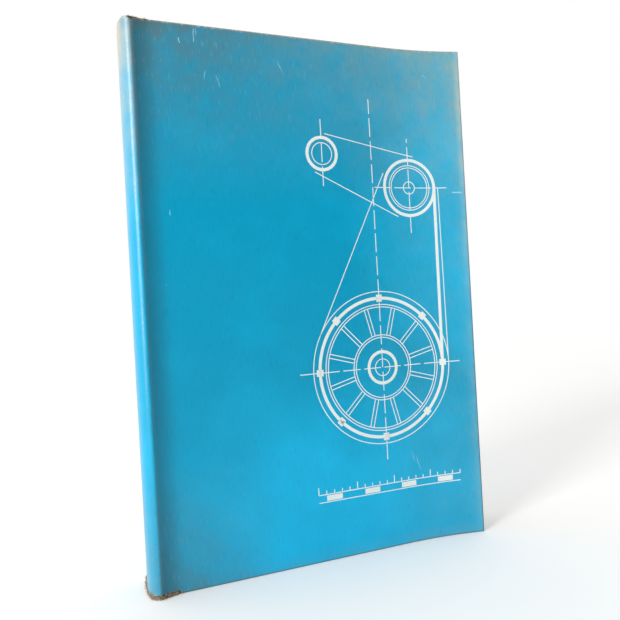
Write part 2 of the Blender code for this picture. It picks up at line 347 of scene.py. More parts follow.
def joint(startX, endX):
    return [(x, jointHeight(x)) for x in stepsBetween(startX, endX, 48)]


# One sheet of cloth runs from the back joint round the spine and on over the front cover
casePath = PlanPath([
    ("backRidge", toBack(joint(case["ridgeX"], case["slitX"]))),
    ("arcStart", bezier([backCrest, (case["backCornerX"], backCrest[1]), backLeadIn, spineStart], 24)),
    ("arcTop", bezier([spineStart, (case["spineApexX"], case["spineRollY"]), spineApex], 80)),
    ("arcEnd", frontCorner[:31]),
    ("frontRidge", frontCorner[30:]),
    ("frontBoard", joint(case["ridgeX"], case["boardX"])),
    ("curl", [(case["boardX"], 0.0), (case["curlX"], 0.0)]),
    ("foreEdge", [(x, curlHeight(x)) for x in stepsBetween(case["curlX"], case["width"], 60)]),
])
backPath = PlanPath([
    ("frontBoard", joint(case["slitX"], case["boardX"])),
    ("foreEdge", [(case["boardX"], 0.0), (case["width"], 0.0)]),
])
frontRidgeRun = casePath.marks["frontRidge"]


def frontRun(x):
    # running length of the case path at a place on the front cover's flat or curl
    first, last = casePath.marks["frontBoard"], casePath.length
    for _ in range(40):
        middle = (first + last) / 2
        if casePath.at(middle).x < x:
            first = middle
        else:
            last = middle
    return (first + last) / 2


# How the cloth is folded round the boards and the spine's card

clothWrap = dict(
    thickness=0.4,
    turnIn=15.0,
    boardDepth=3.5,      # outer face of the cover to the inner face of its turn-in
    spineDepth=1.8,
    jointDepth=0.95,
    foldRadius=0.6,
    capRadius=1.2,       # the spine's head and tail caps lean in over this height
    lipFlare=0.8,        # the worn tail cap is crushed outwards
    lipHeight=3.0,
    creaseHeight=168.5,  # a short crease runs in from the fore-edge
    creaseX=150.0,
    creaseDepth=0.2,
    creaseHalf=0.5,
    wobble=0.12,         # unevenness of the ridge
    dents=0.07,          # unevenness of the boards' faces
    fray=0.34,           # raggedness of the worn caps
)


def depthAt(path, run):
    # thickness of the case at a place: board, joint or spine
    wrap = clothWrap
    marks = path.marks
    onto = marks["frontBoard"]
    board = ease((run - onto + 2.0) / 1.9)
    spine = 0.0
    if "arcStart" in marks:
        spine = ease((run - marks["arcStart"] - 0.4) / 2.0) * ease((marks["arcEnd"] - 0.4 - run) / 2.0)
    return (wrap["jointDepth"] + (wrap["boardDepth"] - wrap["jointDepth"]) * board
            + (wrap["spineDepth"] - wrap["jointDepth"]) * spine)


def foldRadii(path, run):
    # how far the fold at head and tail is rounded, along the height and through the thickness
    wrap = clothWrap
    through = min(wrap["foldRadius"], depthAt(path, run) / 2 - 0.02)
    cap = 0.0
    if "arcStart" in path.marks:
        cap = ease((run - path.marks["arcStart"] + 1.0) / 3.0)
        cap *= ease((path.marks["arcEnd"] + 1.0 - run) / 3.0)
    return through + (wrap["capRadius"] - through) * cap, through


def fromRidge(path, run):
    # distance along the cloth from the nearer ridge towards the fore-edge; negative on the spine
    if "arcStart" not in path.marks:
        return run + case["slitX"] - case["ridgeX"]
    fromBack, toFront = run - path.marks["backRidge"], frontRidgeRun - run
    return -min(fromBack, toFront)


def clothLift(path, run, height):
    # how far the cloth stands proud of its plan path, in mm
    wrap = clothWrap
    away = fromRidge(path, run)
    seed = 0.0 if path is casePath else 90.0
    lift = noise.noise(Vector((run / 38 + seed, height / 52, 3.1))) * wrap["dents"]
    ridge = 1.0 - ease(abs(away) / 3.5)
    lift += noise.noise(Vector((height / 11, seed, 9.7))) * wrap["wobble"] * ridge
    if path is casePath and away > 20:
        beyond = path.at(run).x - wrap["creaseX"]
        along = ease(beyond / 7.0)
        line = wrap["creaseHeight"] + 0.02 * beyond
        lift -= wrap["creaseDepth"] * along * math.exp(-((height - line) / wrap["creaseHalf"]) ** 2)
    return lift


def wornReach(path, run, height, edgeRun):
    # mm by which a place lies inside the frayed cloth of a cap; negative where the cloth is whole
    away = fromRidge(path, run)
    front = path is casePath and run > path.marks["backRidge"]
    if height > case["height"] / 2:
        overJoint = ease((away + 2.0) / 2.0) * ease((9.2 - away) / 2.5)
        reach = -0.6 if front else -0.6 + 1.3 * ease((7.5 - abs(away)) / 2)
        if front and away < 9.0:
            reach = 0.5 + 1.2 * overJoint
    else:
        overJoint = ease((11.5 - away) / 4.0)
        reach = -0.9 + 3.5 * overJoint if front else -0.7 + 1.8 * ease((8.0 - abs(away)) / 2)
    return reach - abs(edgeRun + 0.5)


def buildWrappedCloth(name, path, columns, heights, mirrored, material):
    # A grid for the outer face, and a band that is swept round its three free sides: over the
    # fold and in under the board. The band is mitred at the corners like the folded cloth.
    wrap = clothWrap
    height, length = case["height"], path.length
    radius, turnIn = wrap["foldRadius"], wrap["turnIn"]
    shape = bmesh.new()
    placeLayer = shape.verts.layers.float_vector.new("clothPlace")
    floatLayers = {key: shape.verts.layers.float.new(key)
                   for key in ("fromRidge", "jointDirtAndShade", "edgeRun", "wornReach")}

    def put(run, z, depth, edgeRun, flat):
        point, inward = path.at(run), path.inward(run)
        proud = clothLift(path, run, z) * ease((2.5 - depth) / 2.5)
        worn = wornReach(path, run, z, edgeRun)
        ragged = ease((worn + 0.5) / 1.2) * wrap["fray"]
        if path is casePath and z < wrap["lipHeight"]:
            lip = ease(1 - z / wrap["lipHeight"]) * ease((9.0 - fromRidge(path, run)) / 4.0)
            lip *= ease((2.0 - depth) / 2.0)
            proud += lip * wrap["lipFlare"] * (0.6 + noise.noise(Vector((run / 2.6, 4.0, 0.0))))
        seedPoint = Vector((run / 0.9, z / 0.9, depth / 0.9))
        proud += noise.noise(seedPoint) * ragged
        towards = 1.0 if z < height / 2 else -1.0
        z += towards * abs(noise.noise(seedPoint + Vector((31.0, 0.0, 0.0)))) * ragged * 1.5
        spot = point + inward * (depth - proud)
        y = case["span"] - spot.y if mirrored else spot.y
        vert = shape.verts.new((spot.x, y, z))
        side = -1.0 if mirrored else 1.0
        vert[placeLayer] = (flat[0] * side - frontRidgeRun, flat[1], 0.0)
        away = fromRidge(path, run)
        vert[floatLayers["fromRidge"]] = away
        # share of the dark band just past the ridge: partly the joint's dirt, partly painted shade on the
        # slope down from the crest
        vert[floatLayers["jointDirtAndShade"]] = ease((away - 0.1) / 0.9) * (1.0 - ease((away - 1.0) / 13.0))
        vert[floatLayers["edgeRun"]] = edgeRun
        vert[floatLayers["wornReach"]] = worn
        return vert

    def addFace(*corners):
        unique = list(dict.fromkeys(corners))
        if len(unique) > 2:
            shape.faces.new(unique[::-1] if mirrored else unique)

    grid = []
    firstHeight, lastHeight = heights[0], heights[-1]
    for run in columns:
        along, _ = foldRadii(path, run)
        column = []
        for z in heights:
            share = (z - firstHeight) / (lastHeight - firstHeight)
            z = along + (height - 2 * along) * share
            edgeRun = min(z, height - z, length - run)
            column.append(put(run, z, 0.0, edgeRun, (run, z)))
        grid.append(column)
    for left, right in zip(grid, grid[1:]):
        for j in range(len(heights) - 1):
            addFace(left[j], right[j], right[j + 1], left[j + 1])

    # where a place lies that is inset from the edge: beside a column, round a corner, by the fore-edge

    def besideColumn(run, top, inset):
        return min(run, length - inset) if inset > radius else run, height - inset if top else inset

    def roundCorner(angle, top, inset):
        base, spread = max(inset, radius), max(radius - inset, 0.0)
        z = base - math.cos(angle) * spread
        return length - base + math.sin(angle) * spread, height - z if top else z

    def besideForeEdge(z, inset):
        return length - inset, min(max(z, inset), height - inset)

    # stations round the three free sides: first vertex, run, and what places an inset
    turns = stepsBetween(0.0, math.pi / 2, 5)[1:-1]
    stations = [(column[0], run, partial(besideColumn, run, False)) for column, run in zip(grid, columns)]
    stations += [(grid[-1][0], length, partial(roundCorner, angle, False)) for angle in turns]
    stations += [(vert, length, partial(besideForeEdge, vert.co.z)) for vert in grid[-1]]
    stations += [(grid[-1][-1], length, partial(roundCorner, angle, True)) for angle in turns[::-1]]
    stations += [(column[-1], run, partial(besideColumn, run, True))
                 for column, run in zip(grid[::-1], columns[::-1])]

    rings = []
    for first, run, locate in stations:
        along, through = foldRadii(path, run)
        depth = depthAt(path, run)
        ring = [first]
        edgeRun = along
        steps = []
        for angle in stepsBetween(0.0, math.pi / 2, 6)[1:]:
            steps.append((along * (1 - math.sin(angle)), through * (1 - math.cos(angle))))
        for share in (0.5, 1.0):
            steps.append((0.0, through + (depth - 2 * through) * share))
        for angle in stepsBetween(0.0, math.pi / 2, 4)[1:]:
            steps.append((along * (1 - math.cos(angle)), depth - through * (1 - math.sin(angle))))
        for share in (0.15, 0.4, 0.7, 1.0):
            steps.append((along + (turnIn - along) * share, depth))
        previous = (along, 0.0)
        for inset, down in steps:
            edgeRun -= math.dist(previous, (inset, down))
            previous = (inset, down)
            placeRun, z = locate(inset)
            flat = (placeRun, edgeRun) if z < turnIn + 1 else (placeRun, height - edgeRun)
            if turnIn + 1 <= z <= height - turnIn - 1:
                flat = (length - edgeRun, z)
            ring.append(put(placeRun, z, down, edgeRun, flat))
        rings.append(ring)
    for near, far in zip(rings, rings[1:]):
        for k in range(len(near) - 1):
            addFace(near[k], near[k + 1], far[k + 1], far[k])
    bmesh.ops.remove_doubles(shape, verts=shape.verts, dist=0.0005)
    bmesh.ops.dissolve_degenerate(shape, edges=shape.edges, dist=0.0005)
    piece = newPiece(name, shape, material)
    solidify(piece, wrap["thickness"])
    return piece


def clothHeights(creased):
    near = [0.8, 1.5, 2.3, 3.4, 5.0, 7.5, 11.0]
    height = case["height"]
    inner = stepsBetween(15.0, height - 15.0, 44)
    if creased:
        middle, half = clothWrap["creaseHeight"], clothWrap["creaseHalf"]
        inner = [z for z in inner if abs(z - middle) > 3.0]
        inner += [middle + half * k for k in (-4, -2, -1, -0.4, 0.2, 0.8, 2, 4)]
    return near + sorted(inner) + [height - z for z in reversed(near)]


def clothColumns(path, fine):
    marks, last = path.marks, path.length - clothWrap["foldRadius"]
    onBoard = marks["frontBoard"]
    columns = stepsBetween(0.0, onBoard, fine)[:-1]
    if path is casePath:
        crest = marks["frontRidge"]
        columns = [run for run in columns if abs(run - crest) > 0.5]
        columns += [crest + step for step in (-0.4, -0.15, 0.1, 0.35)]
        columns.sort()
    columns.append(onBoard)
    columns += [onBoard + step for step in (0.6, 1.4, 2.6, 4.5, 7.5)]
    columns += stepsBetween(onBoard + 12.0, marks.get("curl", last - 6.0), 18 if path is casePath else 24)
    if path is casePath:
        columns += stepsBetween(marks["curl"], last - 4.0, 20)[1:]
    else:
        columns += [last - 4.0]
    return columns + [last - 2.4, last - 1.2, last - 0.5, last]


# Materials

def casePlace(tree):
    # Object coordinates, turned into case coordinates in mm
    return tree.add("ShaderNodeMapping", {
        "Vector": tree.add("ShaderNodeTexCoord").outputs["Object"],
        "Location": tuple(-caseOrigin / mm), "Scale": (1 / mm,) * 3}).outputs["Vector"]


clothLook = dict(
    deep="#009EC6",
    bright="#02BBEA",
    greyLeft="#5F7A7C",
    greyRight="#8FAAA4",
    # the band beside the ridge: the joint's dirt and painted shade
    jointDirtAndShade="#2F5F6A",
    smudge="#868A85",
    fleck="#86C9DE",
    dark="#0B6E90",
    grime="#4C5658",
    headEdge="#A39680",
    rubbed="#B9BCAE",
    # pale: rubbed coating, and a painted highlight on the spine's ridge
    pale="#B9C8C6",
    tan="#B5A590",
    umber="#7C6C59",
    brown="#3B332C",
    blotchSize=34.0,
    stainSize=11.0,
    chafeSize=1.7,
    fibreSize=1.1,
    threadWidth=0.65,   # real threads are 0.4 mm apart, too fine to show at this distance
    threadLength=5.0,
    grainSize=1.3,
)


def makeBookcloth():
    # Bookcloth: dyed cotton filled with an acrylic coating. The coating gives a soft, broad sheen,
    # upright threads show through it as a faint grain, and handling has turned it grey in places.
    look = clothLook
    material, tree = newMaterial("coatedBookcloth", Specular_IOR_Level=0.45, IOR=1.5)
    maths, product, total = tree.maths, tree.product, tree.total
    ranged, mixed, clouds = tree.ranged, tree.mixed, tree.clouds
    place = tree.attribute("clothPlace", "Vector")
    edge, away, dirtAndShade, worn = map(tree.attribute, ("edgeRun", "fromRidge", "jointDirtAndShade", "wornReach"))
    height = tree.add("ShaderNodeSeparateXYZ", {0: place}).outputs["Y"]
    blotch = clouds(place, look["blotchSize"], 5.0, 0.6)
    grain = clouds(place, look["grainSize"], 3.0, 0.7)
    chafe = clouds(place, look["chafeSize"], 4.0, 0.75)
    fibres = clouds(place, look["fibreSize"], 4.0, 0.75)
    stained = ranged(clouds(place, look["stainSize"], 6.0, 0.65, 0.4), 0.30, 0.72, 0.50, 1.50)
    stretched = tree.add("ShaderNodeMapping", {
        "Vector": place, "Scale": (1 / look["threadWidth"], 1 / look["threadLength"], 1.0)}).outputs["Vector"]
    threads = clouds(stretched, 1.0)

    # painted light: brighter towards the tail, where the floor's bounce would light it, and over the upper
    # fore-edge, where the curl turns to the lamp, but less so low down by the fore-edge; the large soft
    # patches are uneven dye
    low = product(ranged(height, 100.0, 30.0, soft=True), ranged(away, 8.0, 55.0, 0.15, 0.9),
                  ranged(away, 110.0, 150.0, 1.0, 0.35))
    # painted light on the upper part of the fore-edge
    paintedForeLight = product(ranged(away, 95.0, 150.0, 0.0, 0.55), ranged(height, 75.0, 125.0))
    patchy = maths("MULTIPLY_ADD", blotch, 1.3, -0.65)
    blue = mixed(maths("ADD", total(low, patchy), paintedForeLight, use_clamp=True), look["deep"], look["bright"])

    # grey film: at the head, most of all beside the spine, it is partly handling and partly a painted sheen,
    # the bright room mirrored in the coating; up the fore-edge, low down beside the joint, and round the
    # edges it is handling
    # painted sheen and handling grey at the head
    headFilmAndSheen = product(maths("POWER", ranged(height, 160.0, 240.0), 1.3), ranged(away, 5.0, 75.0, 0.68, 0.36))
    foreFilm = product(ranged(away, 95.0, 158.0, 0.0, 0.10), ranged(height, 100.0, 210.0, 1.0, 2.4))
    jointFilm = product(ranged(away, 55.0, 5.0, 0.0, 0.46), ranged(height, 55.0, 0.0))
    edgeFilm = ranged(edge, 8.0, 0.0, 0.0, 0.13, soft=True)
    film = maths("MINIMUM", product(total(headFilmAndSheen, foreFilm, jointFilm, edgeFilm), stained), 0.88)
    grey = mixed(ranged(away, 20.0, 140.0, soft=True), look["greyLeft"], look["greyRight"])
    colour = mixed(film, blue, grey)

    # the joint is darkened beside the ridge: partly its own dirt, partly painted shade on the slope that
    # falls away from the crest
    colour = mixed(product(dirtAndShade, 0.42), colour, look["jointDirtAndShade"])

    # pale and dark upright flecks where single threads have lost or gained colour
    paleReach = maths("MULTIPLY_ADD", film, 0.6, 0.08)
    colour = mixed(ranged(threads, 0.60, 0.78, 0.0, paleReach), colour, look["fleck"])
    colour = mixed(ranged(threads, 0.40, 0.24, 0.0, 0.30), colour, look["dark"])

    # grime on the turn of every edge, and coating rubbed off just inside it
    onFold = ranged(maths("ABSOLUTE", maths("SUBTRACT", edge, 0.1)), 0.9, 0.2, 0.0, 0.75, soft=True)
    grime = mixed(ranged(height, 236.0, 239.0), look["grime"], look["headEdge"])
    colour = mixed(onFold, colour, grime)
    chafed = product(ranged(edge, 3.4, 0.6, 0.0, 0.5), ranged(height, 150.0, 225.0, 0.55, 1.0))
    rubbed = ranged(total(chafed, chafe), 0.98, 1.08, 0.0, 0.7)
    colour = mixed(rubbed, colour, look["rubbed"])

    # pale on the spine and its ridge towards the head, partly rubbed coating and partly a painted highlight
    # on the ridge; along the fore-edge the coating has gone pale
    spinePaleAndHighlight = product(ranged(away, 1.0, 0.1), ranged(height, 150.0, 222.0, 0.0, 0.34))
    forePale = product(ranged(away, 157.6, 160.6, soft=True), ranged(height, 110.0, 215.0, 0.06, 0.42))
    colour = mixed(product(total(spinePaleAndHighlight, forePale), stained), colour, look["pale"])
    spineTan = product(ranged(away, -4.0, -7.0), ranged(height, 205.0, 234.0, 0.0, 0.8), stained)
    colour = mixed(spineTan, colour, look["tan"])

    # a smudged line beside the ridge, strongest towards the head
    besideRidge = ranged(maths("ABSOLUTE", maths("SUBTRACT", away, 0.9)), 1.0, 0.2)
    smudge = product(besideRidge, ranged(height, 120.0, 236.0, 0.22, 0.8), chafe, stained)
    colour = mixed(smudge, colour, look["smudge"])

    # the caps are worn through to bare brown threads and board
    ragged = total(worn, maths("MULTIPLY_ADD", chafe, 4.4, -2.2))
    bare = ranged(ragged, -0.15, 0.35)
    ground = mixed(ranged(fibres, 0.52, 0.42), look["umber"], look["brown"])
    ground = mixed(ranged(fibres, 0.53, 0.66), ground, look["tan"])
    gloss = ranged(grain, 0.3, 0.7, 0.27, 0.38)
    dulled = tree.add("ShaderNodeMix", {0: maths("MAXIMUM", bare, rubbed), 2: gloss, 3: 0.9}).outputs[0]
    tree.paint(Base_Color=mixed(bare, colour, ground), Roughness=dulled)
    tree.relief(total(threads, grain, ragged), 0.22, 0.06)
    return material


def makePrintInk():
    # Screen ink: an even, cream-white film on the coating. It is thin, so the blue shows in specks
    # where the cloth's threads have rubbed it.
    material, tree = newMaterial("screenInk", Roughness=0.45)
    place = casePlace(tree)
    specks = tree.clouds(place, 0.8, 4.0, 0.7)
    white = tree.mixed(tree.clouds(place, 14.0, 3.0), "#F4F6F0", "#E3EEEC")
    tree.paint(Base_Color=tree.mixed(tree.ranged(specks, 0.60, 0.74, 0.0, 0.55), white, "#6CC0D8"))
    tree.relief(specks, 0.2, 0.05)
    return material


def makeMottled(name, size, dark, pale, detail=2.0, roughness=0.5, relief=None, **shaderValues):
    # a dull surface, mottled between two colours
    material, tree = newMaterial(name, **shaderValues)
    mottling = tree.clouds(casePlace(tree), size, detail, roughness)
    tree.paint(Base_Color=tree.mixed(mottling, dark, pale))
    if relief:
        tree.relief(mottling, *relief)
    return material


def makePaper(name, pale, browned, edgeReach, speckle):
    # Uncoated book paper: matt, a little mottled, and browned from its edges inwards by the air
    material, tree = newMaterial(name, Roughness=0.9, Specular_IOR_Level=0.25)
    place = casePlace(tree)
    x, _, z = tree.add("ShaderNodeSeparateXYZ", {0: place}).outputs
    fromTail = tree.maths("SUBTRACT", z, leafLow.z / mm)
    fromHead = tree.maths("SUBTRACT", leafHigh.z / mm, z)
    fromFore = tree.maths("SUBTRACT", (leafHigh.x - caseOrigin.x) / mm, x)
    nearest = tree.maths("MINIMUM", tree.maths("MINIMUM", fromTail, fromHead), fromFore)
    uneven = tree.maths("MULTIPLY_ADD", tree.clouds(place, 16.0, 5.0, 0.6), edgeReach, -edgeReach / 2)
    brown = tree.ranged(tree.total(nearest, uneven), edgeReach, 0.0, 0.0, 0.85, soft=True)
    foxing = tree.ranged(tree.clouds(place, 2.6), 0.70, 0.78, 0.0, speckle)
    tree.paint(Base_Color=tree.mixed(foxing, tree.mixed(brown, pale, browned), "#A5814F"))
    tree.relief(tree.clouds(place, 0.35, 4.0, 0.7), 0.25, 0.03)
    return material


def makeMull():
    # Mull: open starched muslin glued over the sections, under brown glue
    material, tree = newMaterial("gluedMull", Roughness=0.85)
    waveStep, threadStep = 0.31, 0.8    # between two bands at a scale of 1, and between threads in mm
    waves = {"Vector": casePlace(tree), "Scale": waveStep / threadStep, "Distortion": 0.6}
    net = tree.maths("MAXIMUM", *[tree.add("ShaderNodeTexWave", waves, bands_direction=way).outputs["Fac"]
                                  for way in "ZY"])
    tree.paint(Base_Color=tree.mixed(net, "#7A5F3D", "#CDBE9E"))
    tree.relief(net, 0.5, 0.1)
    return material


bookcloth = makeBookcloth()
screenInk = makePrintInk()
# where something hard has scored the coating, the broken edge of the film looks chalky
scoredCoating = makeMottled("scoredCoating", 0.5, "#79B9CC", "#C4E4EA", 3.0, Roughness=0.8)
endpaper = makePaper("endpaper", "#E9E1CC", "#C7AE83", 9.0, 0.5)
bookPaper = makePaper("bookPaper", "#E6DCC4", "#B99C6C", 3.0, 0.35)
# binder's board: pressed grey waste paper, with darker fibres and lighter flecks in it
greyBoard = makeMottled("greyBoard", 0.9, "#6F675C", "#A79C8B", 5.0, 0.75, relief=(0.4, 0.08),
                        Roughness=0.92, Specular_IOR_Level=0.2)
gluedMull = makeMull()
# mercerised cotton thread has a soft sheen along its twist
cotton = dict(size=0.25, Roughness=0.6, Sheen_Weight=0.15)
bandWhite = makeMottled("bandThreadWhite", dark="#C9C2AE", pale="#EFEBDD", **cotton)
bandBlue = makeMottled("bandThreadBlue", dark="#2B5B7D", pale="#4D86A8", **cotton)
frayedThread = makeMottled("frayedThread", dark="#7D6A4E", pale="#C7B596", **cotton)
print("materials made")


# The case's cloth

def buildCaseCloth():
    cloth = buildWrappedCloth("case_cloth", casePath, clothColumns(casePath, 84), clothHeights(True),
                              False, bookcloth)
    finishPiece(cloth)
    inFrame(*case["hingeStart"])
    inFrame(*case["hingeEnd"])
    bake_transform(cloth)
    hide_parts("front_cloth", "spine_cloth")
    back = buildWrappedCloth("back_cover_cloth", backPath, clothColumns(backPath, 10), clothHeights(False),
                             True, bookcloth)
    finishPiece(back)
    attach(back, "book")
    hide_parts("back_cloth")
    return cloth


caseCloth = buildCaseCloth()
print("case cloth:", len(caseCloth.data.polygons), "faces")


# The printed design: circles and tangents as drawn with a pair of compasses

printSizes = dict(
    thin=0.42,
    thick=1.5,
    stud=3.0,
    bar=2.4,
    proud=0.035,       # ink film, just over the cloth
    lapped=0.004,      # wide strokes lie this much over the thin ones
    sunk=0.05,
    step=2.2,          # longest run of a stroke between two points
    dash=9.0,
    gap=2.0,
    scaleStart=74.0,
    scaleEnd=150.0,
    scaleLines=(27.0, 30.5),
    marks=20,
    markStep=4.0,
    markTop=32.3,
    longMarkTop=34.0,
    bars=4,
    barMiddle=28.75,
    barLength=8.0,
)
# A large wheel low down and two smaller circles above: middle, radii in thick line, radii in thin line
wheel, upper, small = (111.0, 86.0), (131.0, 172.0), (85.0, 187.0)
circles = (
    (wheel, (33.0, 7.5), (36.2, 30.0, 28.8, 15.5, 14.3, 4.0)),
    (upper, (13.5,), (10.9, 9.8, 3.0)),
    (small, (7.5,), (5.1,)),
)
# Spokes in pairs, and studs on the rim: count, first angle, start, end, sideways shift, width
spokes = (
    (12, 15, 15.6, 28.7, -0.9, "thin"),
    (12, 15, 15.6, 28.7, 0.9, "thin"),
    (8, 0, 31.3, 34.7, 0.0, "stud"),
)
# Outer tangents, like a belt round each pair of circles: middle and radius of both, width, sides
belts = (
    (wheel, 36.2, upper, 15.5, "thin", (1, -1)),
    (wheel, 33.0, upper, 13.5, "thick", (-1,)),
    (upper, 15.5, small, 9.5, "thin", (1, -1)),
)
centreLines = (
    ((68.0, 86.0), (153.0, 86.0)),
    ((111.0, 42.0), (111.0, 214.0)),
    ((112.0, 172.0), (151.0, 172.0)),
    ((85.0, 172.0), (85.0, 203.0)),
    ((131.0, 150.0), (131.0, 196.0)),
)


def onCover(x, z, proud):
    # a place on the front cover's outer face, lifted off it by proud
    run = frontRun(x)
    spot = casePath.at(run) - casePath.inward(run) * (clothLift(casePath, run, z) + proud)
    return Vector((spot.x, spot.y, z))


def straight(start, end):
    count = max(1, math.ceil(math.dist(start, end) / printSizes["step"]))
    return [tuple(Vector(start).lerp(Vector(end), k / count)) for k in range(count + 1)]


def arcOf(middle, radius):
    count = max(10, math.ceil(math.tau * radius / min(printSizes["step"], radius / 4)))
    return [(middle[0] + radius * math.cos(a), middle[1] + radius * math.sin(a))
            for a in stepsBetween(0.0, math.tau, count)]


def addStroke(shape, points, widths, proud, sunk):
    # a flat ribbon on the cover; a stroke that ends where it starts is a closed loop
    closed = math.dist(points[0], points[-1]) < 0.01
    if closed:
        points = points[:-1]
    count = len(points)
    rings = []
    for k, (x, z) in enumerate(points):
        before = points[(k - 1) % count if closed else max(k - 1, 0)]
        after = points[(k + 1) % count if closed else min(k + 1, count - 1)]
        along = Vector((after[0] - before[0], after[1] - before[1])).normalized()
        half = (widths[k] if isinstance(widths, list) else widths) / 2
        sides = [(x - along.y * half, z + along.x * half), (x + along.y * half, z - along.x * half)]
        corners = [onCover(*sides[0], proud), onCover(*sides[1], proud),
                   onCover(*sides[1], -sunk), onCover(*sides[0], -sunk)]
        rings.append([shape.verts.new(corner) for corner in corners])
    pairs = list(zip(rings, rings[1:] + rings[:1])) if closed else list(zip(rings, rings[1:]))
    for near, far in pairs:
        for c in range(4):
            d = (c + 1) % 4
            shape.faces.new((near[c], near[d], far[d], far[c]))
    if not closed:
        shape.faces.new(rings[0][::-1])
        shape.faces.new(rings[-1])


def printStrokes():
    # (points, width) of every stroke
    sizes = printSizes
    thin, thick = sizes["thin"], sizes["thick"]
    strokes = []
    for middle, thickRadii, thinRadii in circles:
        strokes += [(arcOf(middle, radius), thick) for radius in thickRadii]
        strokes += [(arcOf(middle, radius), thin) for radius in thinRadii]
    for count, first, near, far, side, width in spokes:
        for k in range(count):
            angle = math.radians(first + 360 * k / count)
            dx, dz = math.cos(angle), math.sin(angle)
            ends = [(wheel[0] + dx * reach - dz * side, wheel[1] + dz * reach + dx * side)
                    for reach in (near, far)]
            strokes.append((straight(*ends), sizes[width]))
    for (ax, az), ar, (bx, bz), br, width, sides in belts:
        heading = math.atan2(bz - az, bx - ax)
        swing = math.acos((ar - br) / math.dist((ax, az), (bx, bz)))
        for side in sides:
            dx, dz = math.cos(heading + side * swing), math.sin(heading + side * swing)
            ends = (ax + ar * dx, az + ar * dz), (bx + br * dx, bz + br * dz)
            strokes.append((straight(*ends), sizes[width]))

    # centre lines are broken as on a drawing
    for start, end in centreLines:
        start, end = Vector(start), Vector(end)
        length = (end - start).length
        for k in range(math.ceil(length / (sizes["dash"] + sizes["gap"]))):
            done = k * (sizes["dash"] + sizes["gap"])
            ends = [start.lerp(end, reach / length) for reach in (done, min(done + sizes["dash"], length))]
            strokes.append((straight(*ends), thin))

    # a scale under the wheel
    first, foot = sizes["scaleStart"], sizes["scaleLines"][1]
    strokes += [(straight((first, z), (sizes["scaleEnd"], z)), thin) for z in sizes["scaleLines"]]
    for k in range(sizes["marks"]):
        x, top = first + sizes["markStep"] * k, sizes["markTop" if k % 5 else "longMarkTop"]
        strokes.append((straight((x, foot), (x, top)), thin))
    for k in range(sizes["bars"]):
        x, z = first + sizes["markStep"] * (5 * k + 1), sizes["barMiddle"]
        strokes.append((straight((x, z), (x + sizes["barLength"], z)), sizes["bar"]))
    return strokes


def buildPrint():
    shape = bmesh.new()
    for points, width in printStrokes():
        lapped = printSizes["lapped"] if width > printSizes["thin"] else 0.0
        addStroke(shape, points, width, printSizes["proud"] + lapped, printSizes["sunk"])
    bmesh.ops.recalc_face_normals(shape, faces=shape.faces)
    design = newPiece("cover_print", shape, screenInk)
    finishPiece(design)
    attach(design, "front_cover")
    return design


coverPrint = buildPrint()
print("printed design:", len(coverPrint.data.polygons), "faces")


# Scores in the coating: (x, z) of both ends, greatest width
scuffs = (
    (27.3, 238.3, 27.0, 232.0, 0.42),
    (28.3, 238.6, 28.1, 235.0, 0.26),
    (20.4, 233.8, 20.9, 231.2, 0.5),
    (153.6, 169.7, 159.2, 169.5, 0.95),
    (126.7, 41.5, 129.0, 34.3, 0.3),
    (124.4, 44.0, 125.9, 39.0, 0.22),
    (31.5, 221.0, 30.8, 216.5, 0.25),
    (65.2, 228.5, 67.5, 222.5, 0.24),
    (36.2, 219.0, 38.0, 213.5, 0.2),
    (4.9, 161.6, 4.8, 159.6, 0.4),
    (12.7, 160.5, 12.9, 157.8, 0.28),
    (9.5, 130.0, 9.3, 128.2, 0.3),
    (142.0, 228.0, 143.5, 225.8, 0.3),
)


def buildScuffs():
    shape = bmesh.new()
    for ax, az, bx, bz, width in scuffs:
        points, widths = [], []
        for k in range(9):
            share = k / 8
            bend = 0.12 * math.sin(share * 7 + ax)
            points.append((ax + (bx - ax) * share + bend, az + (bz - az) * share))
            swell = math.sin(math.pi * share) ** 0.7 * (0.7 + 0.3 * math.sin(share * 11 + bz))
            widths.append(0.04 + width * swell)
        addStroke(shape, points, widths, 0.02, 0.05)
    bmesh.ops.recalc_face_normals(shape, faces=shape.faces)
    marks = newPiece("cover_scuffs", shape, scoredCoating)
    finishPiece(marks)
    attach(marks, "front_cover")


buildScuffs()


# Loose threads where the caps are frayed
fraySizes = dict(
    density=3.0,      # threads for each square millimetre of frayed cloth
    radius=0.06,
    length=1.1,
    seed=5,
)


def makeFrayTree():
    tree, given = newTree("frayedThreads", dict(fraySizes, thread=frayedThread))
    scatter = tree.add("GeometryNodeDistributePointsOnFaces", {
        "Mesh": given["Geometry"], "Selection": tree.above(tree.named("wornReach"), 0.25),
        "Density": given["density"], "Seed": given["seed"]}).outputs
    strand = tree.made("CurveQuadraticBezier", Resolution=4, Start=(0.0, 0.0, -0.1),
                       Middle=(0.1, 0.0, 0.5), End=(0.55, 0.18, 0.75))
    section = tree.made("CurvePrimitiveCircle", Resolution=3, Radius=given["radius"])
    thread = tree.made("CurveToMesh", Curve=strand, Profile_Curve=section, Fill_Caps=True)
    lengths = tree.drawn((0.6, 0.6, 0.25), (1.3, 1.3, 1.2), given["seed"])
    sized = tree.add("ShaderNodeVectorMath", {0: lengths, 3: given["length"]}, operation="SCALE").outputs[0]
    planted = tree.made("InstanceOnPoints", Points=scatter["Points"], Instance=thread,
                        Rotation=scatter["Rotation"], Scale=sized)
    lean = tree.drawn((-0.9, -0.9, -3.1), (0.9, 0.9, 3.1), 11)
    turned = tree.made("RotateInstances", Instances=planted, Rotation=lean)
    real = tree.made("RealizeInstances", Geometry=turned)
    tree.add("NodeGroupOutput", {"Geometry": tree.dress(real, given["thread"])})
    return tree


